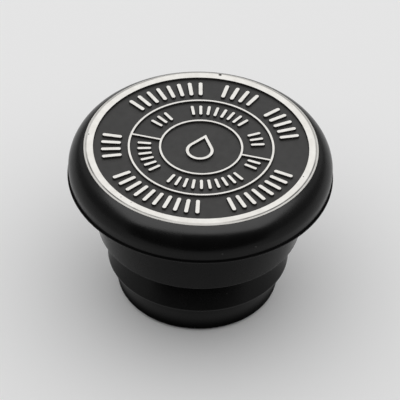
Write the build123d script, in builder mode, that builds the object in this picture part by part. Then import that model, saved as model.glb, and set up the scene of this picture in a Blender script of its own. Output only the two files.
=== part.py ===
from build123d import *
from math import acos, cos, degrees, radians, sin, tan
import os

# Push-in oil filler cap, standing on the end of its neck, axis on Z, millimetres.

# Neck of the plug, from the floor up: lead-in lip, flared barb, sealing land
lip_radius = 17.55
lip_height = 7.4
lip_round = 2.2
barb_radius = 19.7
barb_height = 9.45
barb_round = 1.2
barb_flare = 22.0
land_radius = 22.05
land_height = 13.2
round_flats = 2

# Mushroom head of the plug, with a fin of rubber at the mould's parting line
head_radius = 28.4
head_height = 8.45
shoulder_round = 5.5
fin_reach = 0.2
fin_height = 0.3

# Hollow cored out of the plug from below
core_radius = 13.0
mouth_break = 0.8
crown_thickness = 6.5

# Plate bonded in a seat that is sunk below the crown of the head's rounded shoulder
rubber_border = 2.9
plate_thickness = 1.5
plate_edge_break = 0.15
seat_depth = 2.0
seat_clearance = 0.06

# Raised relief on the plate, all of one height, with drafted sides
relief_height = 0.45
relief_draft = 12.0
rim_width = 2.35
ring_width = 0.5
outer_ring_radius = 15.5
inner_ring_radius = 8.8
spoke_count = 2

# Raised marks on the field: radial bars in two bands, and the outline of a drop in the middle
# A group of bars is given by the angles of its first and last bar
outer_bar_radius = 19.35
outer_bar_length = 4.3
outer_bar_width = 0.9
outer_bar_step = 6.5
outer_bar_groups = [(26.5, 52.5), (69.5, 89), (105, 150.5), (185, 204.5), (224, 282.5), (304, 349.5)]
inner_bar_radius = 12.2
inner_bar_length = 3.0
inner_bar_width = 0.7
inner_bar_step = 8
inner_bar_groups = [(20, 36), (57, 113), (140, 156), (190, 230), (253, 325), (344.5, 352.5)]
drop_radius = 3.0
drop_height = 8.4
drop_line = 0.7

# Levels that follow from those sizes
barb_level = lip_height
land_level = barb_level + barb_height
underside_level = land_level + land_height
head_top_level = underside_level + head_height
seat_level = head_top_level - seat_depth
ceiling_level = seat_level - crown_thickness
plate_top_level = seat_level + plate_thickness
field_level = plate_top_level - relief_height
relief_middle = field_level + relief_height / 2

# Radii and widths that follow from those sizes
plate_radius = head_radius - rubber_border
seat_radius = plate_radius + seat_clearance
rim_radius = plate_radius - rim_width
relief_flare = relief_height * tan(radians(relief_draft))
ring_base_width = ring_width + 2 * relief_flare

# The drop is a circle with two lines that run from it to the tip
drop_centre = drop_radius - drop_height / 2
drop_tip = drop_height / 2
drop_turn = degrees(acos(drop_radius / (drop_tip - drop_centre)))


def corners_of_round(centre_radius, centre_level, rounding, end_angle):
    """Corners of the flats that follow a round edge, from facing down to facing out at end_angle."""
    turn = (end_angle + 90) / (round_flats + 1)
    reach = rounding / cos(radians(turn / 2))
    angles = [radians(turn * (place + 0.5) - 90) for place in range(round_flats + 1)]
    return [(centre_radius + reach * cos(angle), centre_level + reach * sin(angle)) for angle in angles]


lip_corners = corners_of_round(lip_radius - lip_round, lip_round, lip_round, 0)
barb_corners = corners_of_round(barb_radius - barb_round, barb_level + barb_round, barb_round, barb_flare)
barb_edge_radius, barb_edge_level = barb_corners[-1]
groove_radius = barb_edge_radius - (land_level - barb_edge_level) * tan(radians(barb_flare))


def bars_in_groups(middle_radius, length, width, step, groups):
    """Feet of the radial bars of one band, wider and longer than their tops by the draft."""
    for first_angle, last_angle in groups:
        span = last_angle - first_angle
        with PolarLocations(middle_radius, round(span / step) + 1, first_angle, span, endpoint=True):
            Rectangle(length + 2 * relief_flare, width + 2 * relief_flare)


os.makedirs("parts", exist_ok=True)

# Rubber plug: the outer form is turned in one section, then the hollow and the plate's seat are taken out
with BuildPart() as rubber_plug:
    with BuildSketch(Plane.XZ):
        with BuildLine():
            side = Polyline(
                (0, 0),
                *lip_corners,
                (lip_radius, barb_level),
                *barb_corners,
                (groove_radius, land_level),
                (land_radius, land_level),
                (land_radius, underside_level),
                (head_radius + fin_reach, underside_level),
                (head_radius + fin_reach, underside_level + fin_height),
                (head_radius, underside_level + fin_height),
            )
            top = FilletPolyline(
                side @ 1,
                (head_radius, head_top_level),
                (0, head_top_level),
                radius=[shoulder_round],
            )
            Line(top @ 1, side @ 0)
        make_face()
    revolve(axis=Axis.Z)
    with BuildSketch(Plane.XZ):
        with BuildLine():
            Polyline(
                (0, 0),
                (core_radius + mouth_break, 0),
                (core_radius, mouth_break),
                (core_radius, ceiling_level),
                (0, ceiling_level),
                close=True,
            )
        make_face()
    revolve(axis=Axis.Z, mode=Mode.SUBTRACT)
    with BuildSketch(Plane.XY.offset(seat_level)):
        Circle(seat_radius)
    extrude(amount=seat_depth, mode=Mode.SUBTRACT)

rubber_plug.part.label = "rubber_plug"
export_step(rubber_plug.part, "parts/rubber_plug.step")

# Top plate: disc, rim and rings are turned in one section, then spokes and marks are raised on the field
with BuildPart() as top_plate:
    with BuildSketch(Plane.XZ):
        with BuildLine():
            Polyline(
                (0, seat_level),
                (plate_radius, seat_level),
                (plate_radius, plate_top_level - plate_edge_break),
                (plate_radius - plate_edge_break, plate_top_level),
                (rim_radius, plate_top_level),
                (rim_radius - relief_flare, field_level),
                (0, field_level),
                close=True,
            )
        make_face()
        with Locations((inner_ring_radius, relief_middle), (outer_ring_radius, relief_middle)):
            Trapezoid(ring_base_width, relief_height, 90 - relief_draft)
    revolve(axis=Axis.Z)
    with BuildSketch(Plane.XY.offset(field_level)):
        with PolarLocations((inner_ring_radius + outer_ring_radius) / 2, spoke_count):
            Rectangle(outer_ring_radius - inner_ring_radius, ring_base_width)
    extrude(amount=relief_height, taper=relief_draft)
    with BuildSketch(Plane.XY.offset(field_level)):
        bars_in_groups(outer_bar_radius, outer_bar_length, outer_bar_width, outer_bar_step, outer_bar_groups)
        bars_in_groups(inner_bar_radius, inner_bar_length, inner_bar_width, inner_bar_step, inner_bar_groups)
    extrude(amount=relief_height, taper=relief_draft)
    with BuildSketch(Plane.XY.offset(field_level)):
        with BuildLine():
            bowl = CenterArc((0, drop_centre), drop_radius, 90 + drop_turn, 360 - 2 * drop_turn)
            Polyline(bowl @ 1, (0, drop_tip), bowl @ 0)
        make_face()
        offset(amount=-drop_line, mode=Mode.SUBTRACT)
    extrude(amount=relief_height, taper=relief_draft)

top_plate.part.label = "top_plate"
export_step(top_plate.part, "parts/top_plate.step")
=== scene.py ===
# %% [markdown]
# # An oil filler cap, dressed in Blender
# The solids come from the CAD frame: a stepped rubber plug and the metal plate in its top. This lesson
# turns a smooth skin for each of them, adds the raised marks that were cast with the plate, gives rubber
# and metal the finish of the real pieces, and sets up a small studio round the cap.

# %% Load the solids
import bmesh
import bpy
from math import acos, asin, cos, degrees, pi, radians, sin, tan
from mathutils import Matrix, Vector


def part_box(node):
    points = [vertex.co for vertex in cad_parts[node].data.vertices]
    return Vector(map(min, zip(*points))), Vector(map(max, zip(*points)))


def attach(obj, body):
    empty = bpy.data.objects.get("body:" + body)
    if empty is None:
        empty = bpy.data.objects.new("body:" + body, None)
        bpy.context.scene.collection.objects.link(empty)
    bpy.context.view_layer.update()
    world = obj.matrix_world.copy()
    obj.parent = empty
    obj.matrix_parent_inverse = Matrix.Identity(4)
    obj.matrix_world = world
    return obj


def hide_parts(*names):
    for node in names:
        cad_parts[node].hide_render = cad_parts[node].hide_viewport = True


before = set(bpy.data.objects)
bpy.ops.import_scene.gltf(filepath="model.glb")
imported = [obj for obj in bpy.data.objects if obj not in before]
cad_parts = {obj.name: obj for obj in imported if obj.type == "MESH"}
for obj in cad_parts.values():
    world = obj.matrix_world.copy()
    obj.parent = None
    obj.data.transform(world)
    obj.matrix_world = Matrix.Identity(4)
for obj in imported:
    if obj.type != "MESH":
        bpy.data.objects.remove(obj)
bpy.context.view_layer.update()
bpy.ops.object.select_all(action="DESELECT")
print("solids:", sorted(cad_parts))

# %% [markdown]
# Blender works in metres, and the cap is only a few centimetres across, so sizes are written in
# millimetres and multiplied by `MM`. The main levels and radii are read from the solids, so that the
# skins stay on them: the plate's flat top, its underside in the rubber seat, and the outermost edge of
# the plug. The sunk field of the plate lies one relief height below its top. The rubber laps a little
# over the plate's rim, so the edge of the plate that shows lies slightly inside its solid's.

# %% Sizes taken from the solids
MM = 0.001
RUBBER_LAP, RELIEF = 0.31, 0.45

plate_low, plate_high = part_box("top_plate")
plug_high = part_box("rubber_plug")[1]
TOP = plate_high.z / MM
SEAT = plate_low.z / MM
PLATE_RADIUS = plate_high.x / MM
EDGE_RADIUS = PLATE_RADIUS - RUBBER_LAP
FIN_RADIUS = plug_high.x / MM
FIELD = TOP - RELIEF
print("plate from", round(SEAT, 2), "to", round(TOP, 2), "mm, radius", round(PLATE_RADIUS, 2), "mm")

# %% [markdown]
# Both pieces are round about the axis of the cap. Such a shape could be extruded ring by ring, but it is
# quicker to draw half of its section once and spin that about the axis. The section is drawn the way a
# pencil would: one vertex is pulled from corner to corner with Extrude, and where the real piece is
# rounded, that vertex is spun about the centre of the round.

# %% Pencil for a section
ACROSS_SECTION = (0, 1, 0)
CAP_AXIS = (0, 0, 1)


def start_section(name, level):
    bpy.ops.object.select_all(action="DESELECT")
    bpy.ops.mesh.primitive_plane_add(size=MM, location=(0, 0, 0))
    piece = bpy.context.object
    piece.name = piece.data.name = name
    bpy.ops.object.mode_set(mode="EDIT")
    bpy.ops.mesh.merge(type="CENTER")
    bpy.ops.transform.translate(value=(0, 0, level * MM))
    return piece


def line_to(radius, level):
    drawn = bmesh.from_edit_mesh(bpy.context.edit_object.data)
    here = next(vertex.co.copy() for vertex in drawn.verts if vertex.select)
    there = Vector((radius * MM, 0, level * MM))
    bpy.ops.mesh.extrude_vertices_move(TRANSFORM_OT_translate={"value": there - here})


def arc_about(radius, level, angle, steps):
    centre = (radius * MM, 0, level * MM)
    bpy.ops.mesh.spin(steps=steps, angle=radians(angle), center=centre, axis=ACROSS_SECTION)


# %% [markdown]
# The plug's section follows the solid, from the hollow's ceiling down to the mouth, round the lead-in
# lip, up the flared barb and the sealing land, out under the head, over the thin fin that the mould's
# parting line leaves, and over the shoulder into the seat of the plate. The solid carries its small
# rounds only as a few flats, so this skin stands in for it with true curves. Three of them follow the
# photograph more closely than the solid does: the lip bows out by a fifth of a millimetre, as soft rubber
# does, the barb's lower edge is crisper, and the shoulder falls off a little sooner. The flare and the
# bow are in degrees.

# %% Sizes of the plug
CROWN, CORE_RADIUS, CORE_ROUND, MOUTH_BREAK = 6.5, 13.0, 1.2, 0.8
LIP_RADIUS, LIP_ROUND, LIP_BOW, LIP_BOW_RADIUS = 17.75, 1.8, 12.0, 15.0
BARB_RADIUS, BARB_LEVEL, BARB_ROUND, BARB_FLARE = 19.7, 7.8, 0.5, 22.0
LAND_RADIUS, LAND_LEVEL, LAND_HEIGHT, LAND_EDGE = 22.05, 16.85, 13.2, 0.2
HEAD_RADIUS, HEAD_FOOT, FIN_HEIGHT, FIN_EDGE = 28.45, 28.22, 0.3, 0.1
SHOULDER_ROUND, SHOULDER_LEVEL, SEAT_GAP = 6.0, 32.45, 0.06

CEILING = SEAT - CROWN
UNDERSIDE = LAND_LEVEL + LAND_HEIGHT
SEAT_RADIUS = EDGE_RADIUS + SEAT_GAP
bow_reach = LIP_BOW_RADIUS - LIP_ROUND
lip_centre = LIP_RADIUS - LIP_BOW_RADIUS + bow_reach * cos(radians(LIP_BOW))
bow_level = LIP_ROUND + bow_reach * sin(radians(LIP_BOW))
bow_end = degrees(asin((BARB_LEVEL - bow_level) / LIP_BOW_RADIUS))
shoulder_centre = HEAD_RADIUS - SHOULDER_ROUND
shoulder_turn = degrees(acos((SEAT_RADIUS - shoulder_centre) / SHOULDER_ROUND))
barb_centre = BARB_LEVEL + BARB_ROUND
flank_radius = BARB_RADIUS - BARB_ROUND + BARB_ROUND / cos(radians(BARB_FLARE))
groove_radius = flank_radius - (LAND_LEVEL - barb_centre) * tan(radians(BARB_FLARE))
print("groove above the barb at", round(groove_radius, 2), "mm, shoulder turns", round(shoulder_turn, 1))

# %% [markdown]
# Now the pencil goes round the section. A line is given by the radius and level where it ends, and an arc
# by its centre and by how far it turns. An arc gets more steps where its round is large or shows well.

# %% Draw the plug's section
plug = start_section("moulded_plug", CEILING)
line_to(CORE_RADIUS - CORE_ROUND, CEILING)
arc_about(CORE_RADIUS - CORE_ROUND, CEILING - CORE_ROUND, -90, steps=6)
line_to(CORE_RADIUS, MOUTH_BREAK)
line_to(CORE_RADIUS + MOUTH_BREAK, 0)
line_to(lip_centre, 0)
arc_about(lip_centre, LIP_ROUND, 90 - LIP_BOW, steps=14)
arc_about(LIP_RADIUS - LIP_BOW_RADIUS, bow_level, LIP_BOW + bow_end, steps=10)
line_to(BARB_RADIUS - BARB_ROUND, BARB_LEVEL)
arc_about(BARB_RADIUS - BARB_ROUND, barb_centre, 90 + BARB_FLARE, steps=14)
line_to(groove_radius, LAND_LEVEL)
line_to(LAND_RADIUS - LAND_EDGE, LAND_LEVEL)
arc_about(LAND_RADIUS - LAND_EDGE, LAND_LEVEL + LAND_EDGE, 90, steps=6)
line_to(LAND_RADIUS, UNDERSIDE)
line_to(FIN_RADIUS - FIN_EDGE, UNDERSIDE)
arc_about(FIN_RADIUS - FIN_EDGE, UNDERSIDE + FIN_EDGE, 90, steps=4)
line_to(FIN_RADIUS, UNDERSIDE + FIN_HEIGHT)
line_to(HEAD_FOOT, UNDERSIDE + FIN_HEIGHT)
line_to(HEAD_RADIUS, SHOULDER_LEVEL)
arc_about(shoulder_centre, SHOULDER_LEVEL, shoulder_turn, steps=20)
line_to(SEAT_RADIUS, SEAT)
line_to(0, SEAT)
print("section drawn with", len(bmesh.from_edit_mesh(plug.data).verts), "points")

# %% [markdown]
# A full spin leaves its last copy on top of the first, and a bundle of points where the section touches
# the axis. Merging doubles closes both, and recalculating the normals turns every face outwards. Shading
# is smooth across the curves and stays crisp at the corners.

# %% Spin the section into the plug
RING_STEPS = 192
WELD = 0.001
CREASE = radians(30)


def turn_section():
    bpy.ops.mesh.select_all(action="SELECT")
    bpy.ops.mesh.spin(steps=RING_STEPS, angle=2 * pi, center=(0, 0, 0), axis=CAP_AXIS)
    bpy.ops.mesh.select_all(action="SELECT")
    bpy.ops.mesh.remove_doubles(threshold=WELD * MM)
    bpy.ops.mesh.normals_make_consistent(inside=False)
    bpy.ops.object.mode_set(mode="OBJECT")


turn_section()
bpy.ops.object.shade_smooth_by_angle(angle=CREASE)
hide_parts("rubber_plug")
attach(plug, "root")
plug_size = [round(side / MM, 2) for side in plug.dimensions]
print("plug has", len(plug.data.polygons), "faces, size in mm", plug_size)

# %% [markdown]
# The plate is one casting. Its disc, its rim and its two rings are turned from one section, in the same
# way as the plug. The walls of the relief lean back by a draft angle, so that a casting leaves its mould,
# and the rim slopes down to the rubber along its outer edge.

# %% Turn the plate
DRAFT = tan(radians(12))
RING_WIDTH, RIM_WIDTH = 0.5, 2.35
EDGE_WIDTH, EDGE_DROP = 0.45, 0.17
INNER_RING, OUTER_RING, RIM = 8.8, 15.5, PLATE_RADIUS - RIM_WIDTH
FLAT_END = EDGE_RADIUS - EDGE_WIDTH


def raised_ring(radius):
    foot = RING_WIDTH / 2 + RELIEF * DRAFT
    line_to(radius - foot, FIELD)
    line_to(radius - RING_WIDTH / 2, TOP)
    line_to(radius + RING_WIDTH / 2, TOP)
    line_to(radius + foot, FIELD)


plate = start_section("cast_plate", FIELD)
raised_ring(INNER_RING)
raised_ring(OUTER_RING)
line_to(RIM - RELIEF * DRAFT, FIELD)
line_to(RIM, TOP)
line_to(FLAT_END, TOP)
line_to(EDGE_RADIUS, TOP - EDGE_DROP)
line_to(EDGE_RADIUS, SEAT)
line_to(0, SEAT)
turn_section()
print("plate turned,", len(plate.data.polygons), "faces")

# %% [markdown]
# Two spokes join the rings. Each is a small block between them, with its foot wider than its top. Like
# all the raised marks that follow, it is sunk a little into the field, so that no gap shows under it.

# %% Spokes
SINK = 0.08
DEPTH = RELIEF + SINK
BITE = 0.05


def select_by(piece, keep):
    bpy.ops.mesh.select_mode(type="VERT")
    bpy.ops.mesh.select_all(action="DESELECT")
    points = bmesh.from_edit_mesh(piece.data)
    for vertex in points.verts:
        vertex.select = keep(vertex.co)
    points.select_flush_mode()
    bmesh.update_edit_mesh(piece.data)


def spoke(name, side):
    start, end = INNER_RING + RING_WIDTH / 2 - BITE, OUTER_RING - RING_WIDTH / 2 + BITE
    bpy.ops.object.select_all(action="DESELECT")
    bpy.ops.mesh.primitive_cube_add(
        size=1.0,
        location=(side * (start + end) / 2 * MM, 0, (TOP - DEPTH / 2) * MM),
        scale=((end - start) * MM, RING_WIDTH * MM, DEPTH * MM),
    )
    piece = bpy.context.object
    piece.name = piece.data.name = name
    bpy.ops.object.transform_apply(location=True, rotation=True, scale=True)
    bpy.ops.object.mode_set(mode="EDIT")
    select_by(piece, lambda place: place.z < FIELD * MM)
    bpy.ops.transform.resize(value=(1, 1 + 2 * DEPTH * DRAFT / RING_WIDTH, 1), center_override=(0, 0, 0))
    bpy.ops.object.mode_set(mode="OBJECT")
    return piece


marks = [spoke("spoke_right", 1), spoke("spoke_left", -1)]
print("spokes:", [mark.name for mark in marks])

# %% [markdown]
# Between the rings stand plain bars with round ends, set like the graduations of a dial. One bar is
# modelled: a short cylinder whose two halves are moved apart and whose foot is widened for the draft.

# %% One raised bar
BAR_SIDES = 16


def raised_bar(name, middle, length, width):
    bpy.ops.object.select_all(action="DESELECT")
    bpy.ops.mesh.primitive_cylinder_add(
        vertices=BAR_SIDES,
        radius=width / 2 * MM,
        depth=DEPTH * MM,
        location=(middle * MM, 0, (TOP - DEPTH / 2) * MM),
        rotation=(0, 0, pi / BAR_SIDES),
    )
    bar = bpy.context.object
    bar.name = bar.data.name = name
    bpy.ops.object.transform_apply(location=True, rotation=True)
    bpy.ops.object.mode_set(mode="EDIT")
    for side in (-1, 1):
        select_by(bar, lambda place: (place.x - middle * MM) * side > 0)
        bpy.ops.transform.translate(value=(side * (length - width) / 2 * MM, 0, 0))
    select_by(bar, lambda place: place.z < FIELD * MM)
    widen = 2 * DEPTH * DRAFT
    bpy.ops.transform.resize(
        value=(1 + widen / length, 1 + widen / width, 1), center_override=(middle * MM, 0, 0)
    )
    bpy.ops.object.mode_set(mode="OBJECT")
    return bar


# %% [markdown]
# Each group of bars is made from a copy of that one bar: the copy is turned to where the group begins and
# then repeated along the arc by Spin with duplicates. A group is given by the angles of its first and
# last bar, counted from the spoke on the +X side. The bars of the outer band are larger than those
# between the two rings. With no window, a turn goes clockwise, so the angles carry a minus sign.

# %% Groups of bars on the plate
OUTER_BAR = {"middle": 19.35, "length": 4.3, "width": 0.9}
INNER_BAR = {"middle": 12.2, "length": 3.0, "width": 0.7}
OUTER_STEP, INNER_STEP = 6.5, 8.0
OUTER_GROUPS = [(26.5, 52.5), (69.5, 89), (105, 150.5), (185, 204.5), (224, 282.5), (304, 349.5)]
INNER_GROUPS = [(20, 36), (57, 113), (140, 156), (190, 230), (253, 325), (344.5, 352.5)]
BANDS = [(OUTER_BAR, OUTER_STEP, OUTER_GROUPS), (INNER_BAR, INNER_STEP, INNER_GROUPS)]


def bar_group(bar, first, last, step):
    bpy.ops.object.select_all(action="DESELECT")
    bar.select_set(True)
    bpy.context.view_layer.objects.active = bar
    bpy.ops.object.duplicate()
    group = bpy.context.object
    bpy.ops.object.mode_set(mode="EDIT")
    bpy.ops.mesh.select_all(action="SELECT")
    bpy.ops.transform.rotate(value=-radians(first), orient_axis="Z", center_override=(0, 0, 0))
    bpy.ops.mesh.spin(
        dupli=True,
        steps=round((last - first) / step),
        angle=-radians(last - first),
        center=(0, 0, 0),
        axis=CAP_AXIS,
    )
    bpy.ops.object.mode_set(mode="OBJECT")
    return group


for sizes, step, groups in BANDS:
    pattern = raised_bar("bar_pattern", **sizes)
    marks += [bar_group(pattern, first, last, step) for first, last in groups]
    bpy.data.objects.remove(pattern)
print("spokes and groups of bars:", len(marks))

# %% [markdown]
# In the middle of the plate stands a plain oil drop in outline. A circle becomes a drop when the points
# above its two tangents are merged into one and that one is pulled up to the tip. Fill and Inset give the
# outline its width, the inner face is deleted, and the ring that is left is extruded up to the level of
# the other relief.

# %% Raised drop
DROP_RADIUS, DROP_HEIGHT, DROP_LINE, DROP_SIDES = 3.0, 8.4, 0.7, 64
HAIR = 0.01
drop_tip = DROP_HEIGHT / 2
drop_centre = DROP_RADIUS - drop_tip
tangent_turn = acos(DROP_RADIUS / (drop_tip - drop_centre))
tangent_level = drop_centre + DROP_RADIUS * cos(tangent_turn)

bpy.ops.object.select_all(action="DESELECT")
bpy.ops.mesh.primitive_circle_add(
    vertices=DROP_SIDES, radius=DROP_RADIUS * MM, location=(0, drop_centre * MM, (FIELD - SINK) * MM)
)
drop = bpy.context.object
drop.name = drop.data.name = "drop"
bpy.ops.object.transform_apply(location=True)
bpy.ops.object.mode_set(mode="EDIT")
select_by(drop, lambda place: place.y > (tangent_level + HAIR) * MM)
bpy.ops.mesh.merge(type="CENTER")
merged = next(vertex.co.y for vertex in bmesh.from_edit_mesh(drop.data).verts if vertex.select)
bpy.ops.transform.translate(value=(0, drop_tip * MM - merged, 0))
bpy.ops.mesh.select_all(action="SELECT")
bpy.ops.mesh.edge_face_add()
bpy.ops.mesh.inset(thickness=DROP_LINE * MM, depth=0)
bpy.ops.mesh.delete(type="ONLY_FACE")
bpy.ops.mesh.select_all(action="SELECT")
bpy.ops.mesh.extrude_region_move(TRANSFORM_OT_translate={"value": (0, 0, DEPTH * MM)})
bpy.ops.mesh.select_all(action="SELECT")
bpy.ops.mesh.normals_make_consistent(inside=False)
bpy.ops.object.mode_set(mode="OBJECT")
print("drop is", [round(side / MM, 2) for side in drop.dimensions], "mm")

# %% [markdown]
# Everything on the plate was cast in one go, so the marks are joined to it, and the whole piece stands in
# for the plate's solid. The rubbing that bared the tops also took off their sharp edges: all edges of the
# top level are bevelled together. Weighted normals let the large flat faces stay flat in the shading, so
# that only the narrow bevels look round.

# %% Join and ease the relief
TOP_EASE = 0.08

bpy.ops.object.select_all(action="DESELECT")
for mark in marks:
    mark.select_set(True)
drop.select_set(True)
plate.select_set(True)
bpy.context.view_layer.objects.active = plate
bpy.ops.object.join()
bpy.ops.object.mode_set(mode="EDIT")
select_by(plate, lambda place: place.z > (TOP - HAIR) * MM)
bpy.ops.mesh.select_mode(type="EDGE")
bpy.ops.mesh.region_to_loop()
bpy.ops.mesh.bevel(offset=TOP_EASE * MM, segments=2, affect="EDGES")
bpy.ops.object.mode_set(mode="OBJECT")
bpy.ops.object.shade_smooth_by_angle(angle=CREASE)
bpy.ops.object.modifier_add(type="WEIGHTED_NORMAL")
plate.modifiers[-1].keep_sharp = True
bpy.ops.object.modifier_apply(modifier=plate.modifiers[-1].name)
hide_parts("top_plate")
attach(plate, "root")
plate_top = max(vertex.co.z for vertex in plate.data.vertices) / MM
print("plate has", len(plate.data.polygons), "faces, top at", round(plate_top, 3), "mm")

# %% [markdown]
# A material is a small graph of nodes. A few helpers keep the graphs short: `new_material` starts one,
# `add` makes a node and fills its sockets with plain values, `join` runs a wire from one socket to
# another, `blend_range` turns one range of values smoothly into another, and `work_out` does a sum.

# %% Helpers for node graphs


def new_material(name):
    material = bpy.data.materials.new(name)
    material.use_nodes = True
    tree = material.node_tree
    return material, tree, tree.nodes["Principled BSDF"]


def add(tree, kind, settings=None, **sockets):
    made = tree.nodes.new("ShaderNode" + kind)
    for name, value in (settings or {}).items():
        setattr(made, name, value)
    for name, value in sockets.items():
        made.inputs[name.replace("_", " ")].default_value = value
    return made


def join(tree, source, target):
    tree.links.new(source, target)


def blend_range(tree, source, start, end, low=0.0, high=1.0):
    ramp = add(tree, "MapRange", {"interpolation_type": "SMOOTHSTEP"})
    for socket, value in zip(("From Min", "From Max", "To Min", "To Max"), (start, end, low, high)):
        ramp.inputs[socket].default_value = value
    join(tree, source, ramp.inputs["Value"])
    return ramp.outputs["Result"]


def work_out(tree, operation, *values):
    made = add(tree, "Math", {"operation": operation})
    for socket, value in zip(made.inputs, values):
        if isinstance(value, (int, float)):
            socket.default_value = value
        else:
            join(tree, value, socket)
    return made.outputs["Value"]


# %% [markdown]
# Three more helpers are for uneven finishes. `noise` reads a noise pattern in Object coordinates, at
# a given number of lumps per metre. Noise gathers round its middle value, so `spread` stretches the part
# of it that matters over a whole range. `tint_between` mixes two colours. The Mix node has sockets for
# every kind of value, so those for colours are picked by their number.

# %% Helpers for uneven finishes
NOISE_LOW, NOISE_HIGH = 0.3, 0.7
FIRST_COLOUR, SECOND_COLOUR, MIXED_COLOUR = 6, 7, 2


def noise(tree, place, lumps, detail=2.0, roughness=0.5):
    texture = add(tree, "TexNoise", Scale=lumps, Detail=detail, Roughness=roughness)
    join(tree, place, texture.inputs["Vector"])
    return texture.outputs["Fac"]


def spread(tree, pattern, low=0.0, high=1.0):
    return blend_range(tree, pattern, NOISE_LOW, NOISE_HIGH, low, high)


def tint_between(tree, amount, first, second):
    tint = add(tree, "Mix", {"data_type": "RGBA"})
    join(tree, amount, tint.inputs["Factor"])
    for number, colour in ((FIRST_COLOUR, first), (SECOND_COLOUR, second)):
        if isinstance(colour, tuple):
            tint.inputs[number].default_value = (*colour, 1)
        else:
            join(tree, colour, tint.inputs[number])
    return tint.outputs[MIXED_COLOUR]


# %% [markdown]
# The plug is moulded rubber: nearly black all through, with a satin skin that mirrors its surroundings
# only dimly. What the eye reads as its shape is that soft mirror image, so the roughness matters more
# than the colour. A slow noise lets the sheen drift a little, a fine noise gives the skin its grain, and
# a sparse one leaves the odd grain of dust.

# %% Rubber finish
DRIFT_LUMPS, GRAIN_LUMPS, DUST_LUMPS = 150.0, 3200.0, 1100.0
DUST_STARTS, DUST_FULL = 0.80, 0.86
SATIN = {"low": 0.23, "high": 0.29}
RUBBER_BLACK, DUST_GREY = (0.001, 0.001, 0.001), (0.05, 0.05, 0.048)
RUBBER_MIRROR, GRAIN_STRENGTH, GRAIN_DEPTH = 0.13, 0.12, 0.03

rubber, tree, shader = new_material("satin_black_rubber")
place = add(tree, "TexCoord").outputs["Object"]
drift = noise(tree, place, DRIFT_LUMPS, detail=4.0, roughness=0.6)
grain = noise(tree, place, GRAIN_LUMPS)
dust = blend_range(tree, noise(tree, place, DUST_LUMPS, detail=1.0), DUST_STARTS, DUST_FULL)
join(tree, spread(tree, drift, **SATIN), shader.inputs["Roughness"])
join(tree, tint_between(tree, dust, RUBBER_BLACK, DUST_GREY), shader.inputs["Base Color"])
bump = add(tree, "Bump", Strength=GRAIN_STRENGTH, Distance=GRAIN_DEPTH * MM)
join(tree, grain, bump.inputs["Height"])
join(tree, bump.outputs["Normal"], shader.inputs["Normal"])
shader.inputs["Specular IOR Level"].default_value = RUBBER_MIRROR
plug.data.materials.append(rubber)
print("rubber finish on", plug.name)

# %% [markdown]
# The plate was painted black all over and then rubbed, so that the raised tops are bare and bright while
# the sunk field and the walls of the relief keep their paint. So the height of a point decides its
# finish, with a little noise where the paint wore through unevenly. The sloping edge of the rim is only
# partly bare: its finish is a mix of metal and paint.

# %% Where the plate is bare
WEAR_LUMPS, WEAR_DEPTH = 900.0, 0.03
PAINT_ENDS, BARE_STARTS = TOP - 0.012, TOP + 0.002
SLOPE_STARTS, SLOPE_FULL, SLOPE_BARE = FLAT_END - 0.1, FLAT_END - 0.04, 0.76
TOP_FADES, TOP_ENDS = FLAT_END - 0.02, FLAT_END + 0.04

plate_finish, tree, shader = new_material("bare_and_painted_plate")
place = add(tree, "TexCoord").outputs["Object"]
axes = add(tree, "SeparateXYZ")
join(tree, place, axes.inputs["Vector"])
flat = add(tree, "CombineXYZ")
for axis in ("X", "Y"):
    join(tree, axes.outputs[axis], flat.inputs[axis])
length = add(tree, "VectorMath", {"operation": "LENGTH"})
join(tree, flat.outputs["Vector"], length.inputs[0])
radius = length.outputs["Value"]

wear = noise(tree, place, WEAR_LUMPS, detail=3.0, roughness=0.6)
rubbed_level = work_out(tree, "MULTIPLY_ADD", wear, WEAR_DEPTH * MM, axes.outputs["Z"])
bare_top = blend_range(tree, rubbed_level, PAINT_ENDS * MM, BARE_STARTS * MM)
bare_slope = blend_range(tree, radius, SLOPE_STARTS * MM, SLOPE_FULL * MM, 0.0, SLOPE_BARE)
flat_top = blend_range(tree, radius, TOP_FADES * MM, TOP_ENDS * MM, 1.0, 0.0)
rubbed = work_out(tree, "MAXIMUM", work_out(tree, "MULTIPLY", bare_top, flat_top), bare_slope)
print("flat of the rim ends at", round(FLAT_END, 2), "mm, slope at", round(EDGE_RADIUS, 2), "mm")

# %% [markdown]
# Where that slope begins, a fine dark line is left: paint in the corner, and also a painted reflection of
# dark surroundings there. Its strength by side is that painted reflection: strongest on both sides of the
# front, weaker in the middle and at the back. It is patchy all along. The front is the side that the
# camera will look at, given by its turn from the -Y axis.

# %% Dark line along the rim, paint and painted reflection
FRONT = radians(13.5)
SIDEWAYS = (cos(FRONT), sin(FRONT), 0)
FORWARD = (sin(FRONT), -cos(FRONT), 0)
LINE_RADIUS, LINE_CORE, LINE_FADE = FLAT_END - 0.06, 0.072, 0.216
SIDE_STARTS, SIDE_FULL = 4.0, 12.0
FRONT_STARTS, FRONT_FULL = -4.0, 8.0
PATCH_LUMPS, PATCH_STARTS, PATCH_FULL = 220.0, 0.3, 0.6


def reach_along(tree, place, direction):
    dot = add(tree, "VectorMath", {"operation": "DOT_PRODUCT"})
    join(tree, place, dot.inputs[0])
    dot.inputs[1].default_value = direction
    return dot.outputs["Value"]


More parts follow.
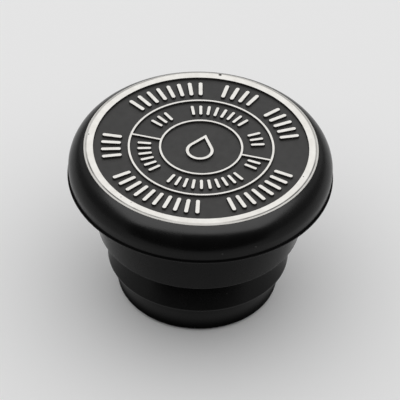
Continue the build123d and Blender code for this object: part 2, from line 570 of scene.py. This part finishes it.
from_line = work_out(tree, "ABSOLUTE", work_out(tree, "SUBTRACT", radius, LINE_RADIUS * MM))
in_line = blend_range(tree, from_line, LINE_CORE * MM, LINE_FADE * MM, 1.0, 0.0)
sideways = work_out(tree, "ABSOLUTE", reach_along(tree, place, SIDEWAYS))
forward = reach_along(tree, place, FORWARD)
# Side and front fades: painted reflection, keyed to the side the camera sees.
at_sides = blend_range(tree, sideways, SIDE_STARTS * MM, SIDE_FULL * MM, 0.1, 0.9)
at_front = blend_range(tree, forward, FRONT_STARTS * MM, FRONT_FULL * MM, 0.45, 0.9)
patches = noise(tree, place, PATCH_LUMPS, detail=3.0)
patchy = blend_range(tree, patches, PATCH_STARTS, PATCH_FULL, 0.5, 1.0)
strength = work_out(tree, "MULTIPLY", work_out(tree, "MULTIPLY", at_sides, at_front), patchy)
line_paint_and_reflection = work_out(tree, "MULTIPLY", in_line, strength)
bare = work_out(tree, "SUBTRACT", rubbed, line_paint_and_reflection)
print("dark line at", round(LINE_RADIUS, 2), "mm")

# %% [markdown]
# A few dark specks sit in the bare rim where the casting had pores. The larger ones are placed one by
# one, by angle, radius and size, and a sparse noise adds fine pits between them.

# %% Specks and pits
SPECKS = [
    (94.9, 24.55, 0.38),
    (186.4, 24.4, 0.16),
    (239.3, 23.8, 0.14),
    (245.9, 23.6, 0.12),
    (351.9, 23.6, 0.15),
]
SPECK_CORE, SPECK_FADE = 0.5, 1.3
PIT_LUMPS, PIT_STARTS, PIT_FULL, PIT_SHADE = 1500.0, 0.70, 0.80, 0.45

marred = blend_range(tree, noise(tree, place, PIT_LUMPS), PIT_STARTS, PIT_FULL, 0.0, PIT_SHADE)
for angle, reach, size in SPECKS:
    turn = radians(angle)
    spot = add(tree, "VectorMath", {"operation": "DISTANCE"})
    join(tree, place, spot.inputs[0])
    spot.inputs[1].default_value = (reach * cos(turn) * MM, reach * sin(turn) * MM, TOP * MM)
    speck = blend_range(
        tree, spot.outputs["Value"], SPECK_CORE * size * MM, SPECK_FADE * size * MM, 1.0, 0.0
    )
    marred = work_out(tree, "MAXIMUM", marred, speck)
print("specks placed:", len(SPECKS))

# %% [markdown]
# Bare metal and paint each get their own slight unevenness: the metal is mottled like a rubbed casting,
# and the paint drifts in tone. Metallic, roughness and colour all follow the same mask.

# %% Plate colours
METAL_DULL, METAL_BRIGHT = (0.78, 0.76, 0.72), (0.86, 0.845, 0.81)
PAINT_DARK, PAINT_PALE = (0.0135, 0.0128, 0.012), (0.0185, 0.0175, 0.0165)
PORE_DARK = (0.03, 0.028, 0.026)
MOTTLE_LUMPS, TONE_LUMPS = 480.0, 260.0

mottle = spread(tree, noise(tree, place, MOTTLE_LUMPS, detail=4.0, roughness=0.65))
tone = spread(tree, noise(tree, place, TONE_LUMPS, detail=4.0, roughness=0.6))
metal = tint_between(tree, mottle, METAL_DULL, METAL_BRIGHT)
paint = tint_between(tree, tone, PAINT_DARK, PAINT_PALE)
marred_metal = tint_between(tree, marred, metal, PORE_DARK)
join(tree, tint_between(tree, bare, paint, marred_metal), shader.inputs["Base Color"])
join(tree, bare, shader.inputs["Metallic"])

# %% [markdown]
# The paint is duller than the metal. Here too the sockets of the Mix node, now those for plain numbers,
# are picked by their number. A fine bump gives both the tooth of a casting.

# %% Plate gloss and grain
PAINT_ROUGHNESS, METAL_ROUGHNESS = {"low": 0.42, "high": 0.5}, {"low": 0.32, "high": 0.4}
SHEEN_LUMPS, TOOTH_LUMPS, TOOTH_STRENGTH, TOOTH_DEPTH = 700.0, 2200.0, 0.15, 0.02
FIRST_NUMBER, SECOND_NUMBER, MIXED_NUMBER = 2, 3, 0

sheen = noise(tree, place, SHEEN_LUMPS, detail=3.0)
gloss = add(tree, "Mix", {"data_type": "FLOAT"})
join(tree, bare, gloss.inputs["Factor"])
join(tree, spread(tree, sheen, **PAINT_ROUGHNESS), gloss.inputs[FIRST_NUMBER])
join(tree, spread(tree, sheen, **METAL_ROUGHNESS), gloss.inputs[SECOND_NUMBER])
join(tree, gloss.outputs[MIXED_NUMBER], shader.inputs["Roughness"])
bump = add(tree, "Bump", Strength=TOOTH_STRENGTH, Distance=TOOTH_DEPTH * MM)
join(tree, noise(tree, place, TOOTH_LUMPS, detail=3.0), bump.inputs["Height"])
join(tree, bump.outputs["Normal"], shader.inputs["Normal"])
plate.data.materials.clear()
plate.data.materials.append(plate_finish)
print("plate finish on", plate.name)

# %% [markdown]
# The studio is a plain pale floor that fills the picture. The world round it gives the cap only a dim,
# even fill, so that most of its light comes from the lamps.

# %% Floor and world
FLOOR_SIZE, FLOOR_ROUGHNESS, FILL = 12.0, 0.9, 0.3
FLOOR_GREY, WHITE = (0.9, 0.9, 0.9, 1), (1, 1, 1, 1)

bpy.ops.object.select_all(action="DESELECT")
bpy.ops.mesh.primitive_plane_add(size=FLOOR_SIZE, location=(0, 0, 0))
floor = bpy.context.object
floor.name = "floor"
floor_finish, tree, shader = new_material("pale_floor")
shader.inputs["Base Color"].default_value = FLOOR_GREY
shader.inputs["Roughness"].default_value = FLOOR_ROUGHNESS
shader.inputs["Specular IOR Level"].default_value = 0.0
floor.data.materials.append(floor_finish)

world = bpy.data.worlds.new("studio")
world.use_nodes = True
bpy.context.scene.world = world
background = world.node_tree.nodes["Background"]
background.inputs["Color"].default_value = WHITE
background.inputs["Strength"].default_value = FILL
print("floor is", FLOOR_SIZE, "m wide, fill light is", FILL)

# %% [markdown]
# The camera looks down on the cap from a little to the right of its front, through a long lens that keeps
# the perspective flat, and it leans slightly to one side.

# %% Camera
VIEW_AZIMUTH, VIEW_ELEVATION, VIEW_ROLL = FRONT, radians(41.36), radians(1.78)
VIEW_DISTANCE, AIM_RIGHT, AIM_BELOW_TOP = 954.5, 0.11, 15.2
LENS, SENSOR, FAR_LIMIT = 397.0, 36.0, 20.0

right = Vector((cos(VIEW_AZIMUTH), sin(VIEW_AZIMUTH), 0))
back = Vector((-sin(VIEW_AZIMUTH), cos(VIEW_AZIMUTH), 0))
up = Vector((0, 0, 1))
aim = (right * AIM_RIGHT + up * (TOP - AIM_BELOW_TOP)) * MM
toward_camera = -back * cos(VIEW_ELEVATION) + up * sin(VIEW_ELEVATION)
bpy.ops.object.camera_add(location=aim + toward_camera * VIEW_DISTANCE * MM)
camera = bpy.context.object
camera.rotation_euler = (-toward_camera).to_track_quat("-Z", "Y").to_euler()
camera.rotation_euler.rotate_axis("Z", VIEW_ROLL)
camera.data.lens = LENS
camera.data.sensor_width = SENSOR
camera.data.clip_end = FAR_LIMIT
bpy.context.scene.camera = camera
print("camera at", [round(value, 3) for value in camera.location])

# %% [markdown]
# One large panel of plain level hangs over the cap and a little behind it. It lights the floor, and the
# plate mirrors it. Black rubber mirrors only a trace of what stands round it, so the plug gets a brighter
# sheet of its own: light linking keeps the sheet off everything else. The rounded shoulder of the head
# shows it as a soft band under the plate. Lamps are placed and sized in metres.

# %% Lamps


def softbox(name, toward, distance, wide, tall, radiance):
    spot = aim + toward.normalized() * distance
    bpy.ops.object.light_add(type="AREA", location=spot)
    lamp = bpy.context.object
    lamp.name = name
    lamp.data.shape = "RECTANGLE"
    lamp.data.size, lamp.data.size_y = wide, tall
    lamp.data.energy = radiance * pi * wide * tall
    lamp.rotation_euler = (aim - spot).to_track_quat("-Z", "Y").to_euler()
    lamp.visible_camera = False
    return lamp


def at_height(direction, elevation):
    return direction * cos(radians(elevation)) + up * sin(radians(elevation))


panel = softbox("top_panel", at_height(back, 75), distance=0.9, wide=3.2, tall=3.2, radiance=0.74)
sheet = softbox("rubber_sheet", at_height(-back, 79), distance=0.73, wide=1.75, tall=0.84, radiance=5.5)
rubber_only = bpy.data.collections.new("rubber_only")
rubber_only.objects.link(plug)
sheet.light_linking.receiver_collection = rubber_only
print("lamps:", panel.name, sheet.name)

# %% [markdown]
# Two cards shape what the rubber mirrors. Only mirror images see them: they don't show in the picture and
# throw no shadow. A black flag, as photographers call it, stands low in front of the cap and gives the
# shoulder and the barb the dark band that models their shape. A glowing disc lies on the floor round the
# neck as a painted reflection of lit floor. Its dark middle, close to the foot of the lip, is a painted
# contact shadow, so that the lip looks round.

# %% Black flag
FLAG_DISTANCE, FLAG_WIDTH, FLAG_HEIGHT = 99.0, 260.0, 107.0
CARD_BLACK = (0.01, 0.01, 0.01, 1)


def mirrored_only(card, name):
    card.name = name
    for ray in ("camera", "diffuse", "shadow", "transmission", "volume_scatter"):
        setattr(card, "visible_" + ray, False)
    finish, tree, shader = new_material(name)
    shader.inputs["Base Color"].default_value = CARD_BLACK
    shader.inputs["Specular IOR Level"].default_value = 0.0
    card.data.materials.append(finish)
    return tree, shader


bpy.ops.object.select_all(action="DESELECT")
flag_middle = -back * FLAG_DISTANCE * MM + up * FLAG_HEIGHT / 2 * MM
bpy.ops.mesh.primitive_plane_add(size=1.0, location=flag_middle)
flag = bpy.context.object
flag.scale = (FLAG_WIDTH * MM, FLAG_HEIGHT * MM, 1)
flag.rotation_euler = (radians(90), 0, VIEW_AZIMUTH)
mirrored_only(flag, "black_flag")
print("flag stands", FLAG_DISTANCE, "mm in front")

# %% [markdown]
# The disc's glow is a painted reflection: it rises from a dark middle, a painted contact shadow, to a
# pale outer part. It lies a hair above the floor, so that the two don't share one level.

# %% Painted reflection disc on the floor
CARD_RADIUS, CARD_LEVEL = 33.0, 0.02
PAINTED_SHADOW_ENDS, PALE_STARTS, PAINTED_SHADOW_GLOW, PALE_GLOW = 17.8, 23.8, 0.02, 0.85

bpy.ops.object.select_all(action="DESELECT")
bpy.ops.mesh.primitive_circle_add(
    radius=CARD_RADIUS * MM, fill_type="NGON", location=(0, 0, CARD_LEVEL * MM)
)
card = bpy.context.object
tree, shader = mirrored_only(card, "painted_reflection_disc")
from_middle = add(tree, "VectorMath", {"operation": "LENGTH"})
join(tree, add(tree, "TexCoord").outputs["Object"], from_middle.inputs[0])
# Dark middle: painted contact shadow; pale outer part: painted reflection of lit floor.
glow = blend_range(
    tree, from_middle.outputs["Value"], PAINTED_SHADOW_ENDS * MM, PALE_STARTS * MM, PAINTED_SHADOW_GLOW, PALE_GLOW
)
join(tree, glow, shader.inputs["Emission Strength"])
shader.inputs["Emission Color"].default_value = WHITE
print("painted reflection disc reaches", CARD_RADIUS, "mm from the axis")

# %% [markdown]
# The Standard view transform shows colours about as they are written.

# %% View
bpy.context.scene.view_settings.view_transform = "Standard"
